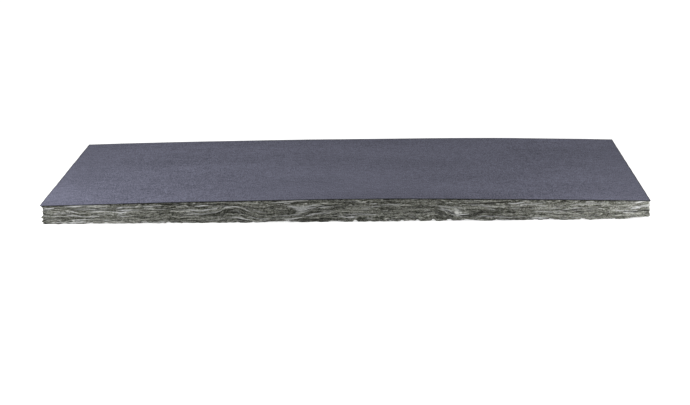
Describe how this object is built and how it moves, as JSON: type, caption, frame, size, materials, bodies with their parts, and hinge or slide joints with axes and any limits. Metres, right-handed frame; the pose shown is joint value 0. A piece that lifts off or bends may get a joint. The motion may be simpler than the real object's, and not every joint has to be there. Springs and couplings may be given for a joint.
{
  "type": "mineral wool facade board",
  "caption": "Semi-rigid mineral wool board for ventilated facades, cut square, with a thin dark nonwoven fleece bonded to its weather side.",
  "frame": {"origin": "centre of the underside, which is the face that goes against the wall", "axes": "+X along the length, +Y across the width, +Z out of the fleece"},
  "size_m": [1.25, 0.6, 0.0476],
  "materials": {
    "mineral_wool": "matt grey mineral fibres in wavy layers, cut with a saw and slightly ragged",
    "facing": "matt slate-grey nonwoven fleece"
  },
  "bodies": {
    "root": {"wool_slab": "mineral_wool", "facing_fleece": "facing"}
  },
  "joints": []
}
